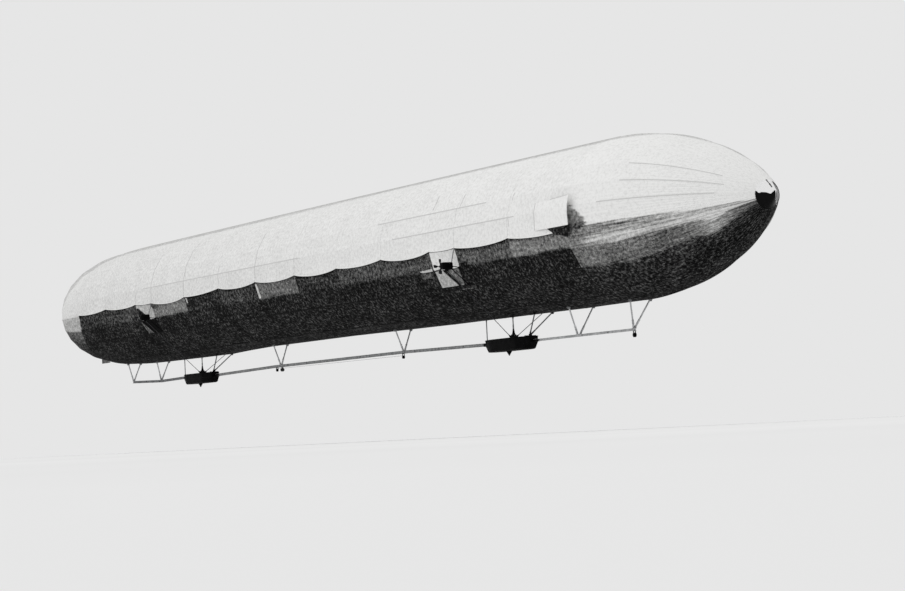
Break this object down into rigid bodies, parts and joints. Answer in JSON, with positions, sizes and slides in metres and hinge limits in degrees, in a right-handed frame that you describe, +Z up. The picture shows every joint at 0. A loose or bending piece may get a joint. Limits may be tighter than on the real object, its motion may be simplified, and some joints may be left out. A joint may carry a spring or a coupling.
{
  "type": "rigid airship, 1:10 scale model",
  "caption": "Long rigid airship with a faceted cloth hull, two open gondolas on a keel beam, four side propellers and a sliding trim weight.",
  "frame": {"origin": "on the hull's long axis at mid-length, where the lift of the gas acts", "axes": "+X towards the bow, +Y to port, +Z up"},
  "size_m": [12.855, 1.475, 1.4792],
  "materials": {
    "pale_cover": "doped cotton, pale",
    "dark_cover": "cotton, dark and dull",
    "grey_cover": "cotton, mid grey and dull",
    "end_cap": "polished sheet",
    "frame_tube": "dull with age",
    "gondola_sheet": "dark dull sheet",
    "engine_iron": "cast, oily",
    "weight_lead": "cast, dull",
    "shaft_steel": "turned",
    "propeller_sheet": "sheet, dull"
  },
  "bodies": {
    "hull": {"upper_cover_stern": "pale_cover", "lower_cover_stern": "grey_cover", "upper_cover_middle": "pale_cover", "lower_cover_middle": "dark_cover", "upper_cover_bow": "pale_cover", "lower_cover_bow": "dark_cover", "aft_starboard_bay_panel": "pale_cover", "aft_port_bay_panel": "pale_cover", "fore_starboard_bay_panel": "pale_cover", "fore_port_bay_panel": "pale_cover", "nose_cap": "end_cap", "tail_cap": "end_cap", "cover_flap": "pale_cover", "keel_beam_aft": "frame_tube", "keel_beam_middle": "frame_tube", "keel_beam_fore": "frame_tube", "keel_struts_end_aft": "frame_tube", "keel_struts_aft": "frame_tube", "keel_struts_middle_aft": "frame_tube", "keel_struts_middle_fore": "frame_tube", "keel_struts_fore": "frame_tube", "keel_struts_end_fore": "frame_tube", "keel_pulley_aft": "gondola_sheet", "keel_pulley_middle": "gondola_sheet", "keel_pulley_fore": "gondola_sheet", "rudder_bracket": "gondola_sheet", "aft_gondola": "gondola_sheet", "aft_gondola_foot": "gondola_sheet", "aft_engine": "engine_iron", "aft_hanger_post": "frame_tube", "aft_centre_post": "frame_tube", "aft_gondola_stays": "frame_tube", "fore_gondola": "gondola_sheet", "fore_gondola_foot": "gondola_sheet", "fore_engine": "engine_iron", "fore_hanger_post": "frame_tube", "fore_centre_post": "frame_tube", "fore_gondola_stays": "frame_tube", "aft_starboard_outrigger": "gondola_sheet", "aft_port_outrigger": "gondola_sheet", "fore_starboard_outrigger": "gondola_sheet", "fore_port_outrigger": "gondola_sheet"},
    "rudder": {"aft_rudder": "grey_cover"},
    "weight": {"trim_weight": "weight_lead"},
    "screw_aft_starboard": {"aft_starboard_propeller": "propeller_sheet"},
    "screw_aft_port": {"aft_port_propeller": "propeller_sheet"},
    "screw_fore_starboard": {"fore_starboard_propeller": "propeller_sheet"},
    "screw_fore_port": {"fore_port_propeller": "propeller_sheet"},
    "shaft_aft_starboard": {"aft_starboard_drive_shaft": "shaft_steel"},
    "shaft_aft_port": {"aft_port_drive_shaft": "shaft_steel"},
    "shaft_fore_starboard": {"fore_starboard_drive_shaft": "shaft_steel"},
    "shaft_fore_port": {"fore_port_drive_shaft": "shaft_steel"}
  },
  "joints": [
    {"name": "rudder_turn", "type": "hinge", "parent": "hull", "child": "rudder", "pos_m": [-5.415, 0, -0.528], "axis": [0, 0, 1], "range_deg": [-20, 20]},
    {"name": "weight_run", "type": "slide", "parent": "hull", "child": "weight", "axis": [1, 0, 0], "range_m": [-0.06, 2.32]},
    {"name": "screw_aft_starboard_spin", "type": "hinge", "parent": "hull", "child": "screw_aft_starboard", "pos_m": [-2.852, -0.68, -0.215], "axis": [1, 0, 0], "continuous": true},
    {"name": "screw_aft_port_spin", "type": "hinge", "parent": "hull", "child": "screw_aft_port", "pos_m": [-2.852, 0.68, -0.215], "axis": [1, 0, 0], "continuous": true},
    {"name": "screw_fore_starboard_spin", "type": "hinge", "parent": "hull", "child": "screw_fore_starboard", "pos_m": [3.148, -0.68, -0.215], "axis": [1, 0, 0], "continuous": true},
    {"name": "screw_fore_port_spin", "type": "hinge", "parent": "hull", "child": "screw_fore_port", "pos_m": [3.148, 0.68, -0.215], "axis": [1, 0, 0], "continuous": true},
    {"name": "shaft_aft_starboard_spin", "type": "hinge", "parent": "hull", "child": "shaft_aft_starboard", "pos_m": [-2.97, -0.034, -0.75], "axis": [0.2054, -0.7564, 0.621], "continuous": true},
    {"name": "shaft_aft_port_spin", "type": "hinge", "parent": "hull", "child": "shaft_aft_port", "pos_m": [-2.97, 0.034, -0.75], "axis": [0.2054, 0.7564, 0.621], "continuous": true},
    {"name": "shaft_fore_starboard_spin", "type": "hinge", "parent": "hull", "child": "shaft_fore_starboard", "pos_m": [3.04, -0.034, -0.75], "axis": [0.1938, -0.7582, 0.6226], "continuous": true},
    {"name": "shaft_fore_port_spin", "type": "hinge", "parent": "hull", "child": "shaft_fore_port", "pos_m": [3.04, 0.034, -0.75], "axis": [0.1938, 0.7582, 0.6226], "continuous": true}
  ],
  "couplings": [
    {"joint": "shaft_aft_starboard_spin", "follows": "screw_aft_starboard_spin", "ratio": 1},
    {"joint": "shaft_aft_port_spin", "follows": "screw_aft_port_spin", "ratio": -1},
    {"joint": "shaft_fore_starboard_spin", "follows": "screw_fore_starboard_spin", "ratio": 1},
    {"joint": "shaft_fore_port_spin", "follows": "screw_fore_port_spin", "ratio": -1}
  ]
}
